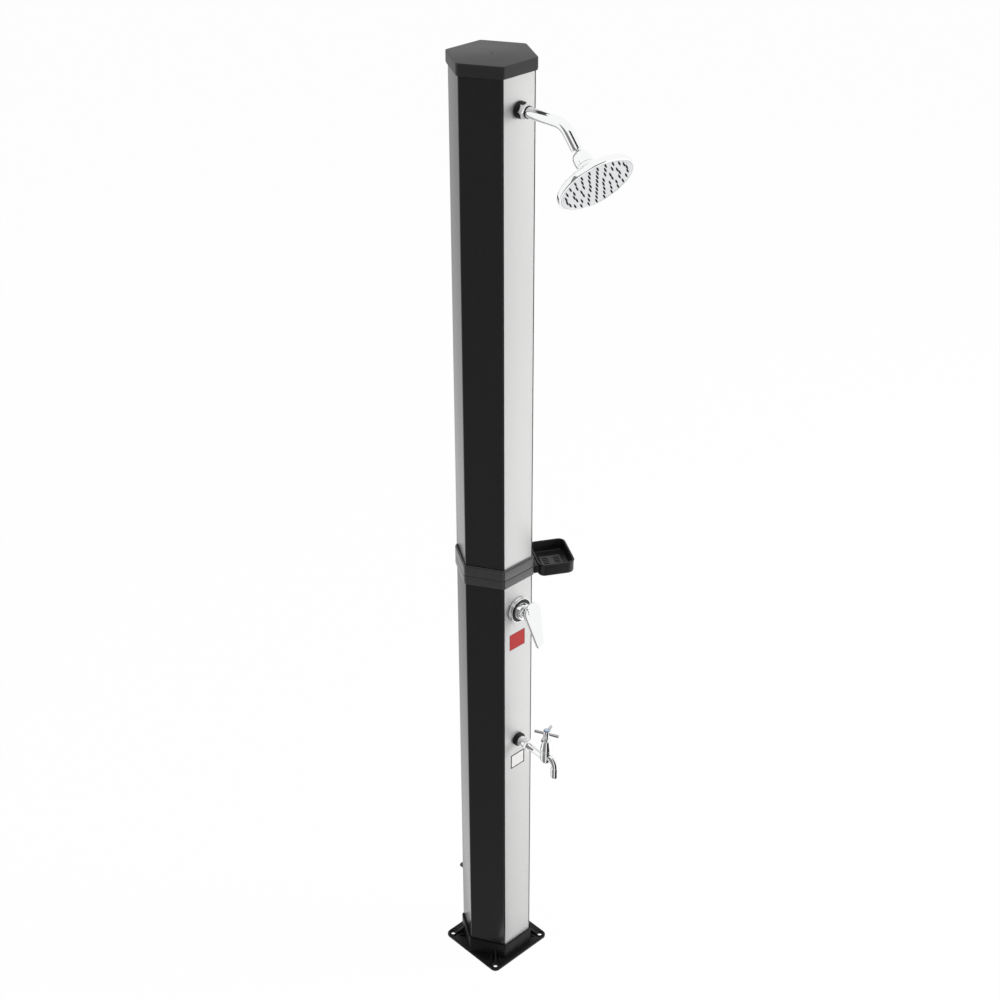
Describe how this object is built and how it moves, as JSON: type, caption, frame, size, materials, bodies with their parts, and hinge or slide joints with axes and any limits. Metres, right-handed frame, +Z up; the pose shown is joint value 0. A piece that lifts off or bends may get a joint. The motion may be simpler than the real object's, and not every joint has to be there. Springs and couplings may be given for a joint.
{
  "type": "outdoor shower post",
  "caption": "Tall black hexagonal outdoor shower post with silver front panels, a tilting round head on a bent arm, a mixer lever, a soap dish and a foot tap.",
  "frame": {"origin": "centre of the square foot plate's underside, on the ground", "axes": "+Z up along the column, -Y out of the front with the silver panels, mixer and taps, +X to the right as seen from the front"},
  "size_m": [0.2497, 0.4409, 2.17],
  "materials": {
    "black_plastic": "smooth satin black plastic",
    "silver_panel": "satin silver",
    "chrome": "polished chrome",
    "black_rubber": "matte black rubber",
    "brass": "plain machined brass",
    "white_plastic": "matte off-white plastic",
    "blue_index": "pale blue plastic"
  },
  "bodies": {
    "post": {"base_plate": "black_plastic", "lower_tank": "black_plastic", "lower_collar": "black_plastic", "upper_collar": "black_plastic", "upper_tank": "black_plastic", "top_cap": "black_plastic", "lower_plug": "black_plastic", "upper_plug": "black_plastic", "dish_bracket": "black_plastic", "lower_front_panel": "silver_panel", "upper_front_panel": "silver_panel", "mixer_rosette": "chrome", "mixer_sleeve": "chrome", "arm_nut": "chrome", "shower_arm": "chrome", "ball_nipple": "chrome", "tap_body": "chrome", "tap_bonnet": "chrome", "tap_gland_nut": "chrome", "inlet_fitting": "chrome", "collar_screw_1": "chrome", "collar_screw_2": "chrome", "collar_screw_3": "chrome", "collar_screw_4": "chrome", "base_screw_1": "chrome", "base_screw_2": "chrome", "cap_screw_1": "chrome", "cap_screw_2": "chrome", "mixer_seal": "black_rubber", "mixer_trim_ring": "black_rubber", "arm_ring": "black_rubber", "tap_ring": "black_rubber", "joint_nipple": "brass", "joint_nut": "brass", "mixer_body": "brass", "mixer_locknut": "brass", "mixer_cartridge_nut": "brass", "arm_locknut": "brass", "tap_locknut": "brass", "inlet_locknut": "brass", "cold_pipe": "white_plastic", "hot_pipe": "white_plastic", "riser_pipe": "white_plastic", "mixer_cartridge": "white_plastic"},
    "mixer_stem": {"mixer_stem": "chrome"},
    "mixer_lever": {"mixer_lever": "chrome", "lever_pin": "chrome"},
    "tap_jumper": {"tap_jumper": "brass"},
    "tap_spindle": {"tap_spindle": "brass", "tap_handle": "chrome", "tap_index": "blue_index"},
    "head_tilt_ring": {"slip_ring": "black_rubber"},
    "head_swing_ring": {"ball_seal": "black_rubber"},
    "shower_head": {"head_nut": "chrome", "head_shell": "chrome", "face_plate": "chrome", "nozzle_mat": "black_rubber"},
    "soap_dish": {"soap_dish": "black_plastic", "drain_grid": "black_plastic"}
  },
  "joints": [
    {"name": "mixer_turn", "type": "hinge", "parent": "post", "child": "mixer_stem", "pos_m": [0, -0.0716, 1], "axis": [0, -1, 0], "range_deg": [-50, 50]},
    {"name": "lever_lift", "type": "hinge", "parent": "mixer_stem", "child": "mixer_lever", "pos_m": [0, -0.1096, 1], "axis": [-1, 0, 0], "range_deg": [0, 20]},
    {"name": "tap_lift", "type": "slide", "parent": "post", "child": "tap_jumper", "axis": [0, 0, 1], "range_m": [0, 0.0035]},
    {"name": "tap_turn", "type": "hinge", "parent": "tap_jumper", "child": "tap_spindle", "pos_m": [0, -0.1616, 0.7], "axis": [0, 0, 1], "range_deg": [0, 720]},
    {"name": "head_tilt", "type": "hinge", "parent": "post", "child": "head_tilt_ring", "pos_m": [0, -0.2263, 2.03217], "axis": [1, 0, 0], "range_deg": [-6, 32]},
    {"name": "head_swing", "type": "hinge", "parent": "head_tilt_ring", "child": "head_swing_ring", "pos_m": [0, -0.2263, 2.03217], "axis": [0, -0.6018, 0.7986], "range_deg": [-6, 22]},
    {"name": "head_spin", "type": "hinge", "parent": "head_swing_ring", "child": "shower_head", "pos_m": [0, -0.2263, 2.03217], "axis": [-0.1392, -0.7909, -0.596], "continuous": true},
    {"name": "dish_lift", "type": "slide", "parent": "post", "child": "soap_dish", "axis": [0, 0, 1], "range_m": [0, 0.03]}
  ],
  "couplings": [
    {"joint": "tap_lift", "follows": "tap_turn", "m_per_rad": 0.000278}
  ]
}
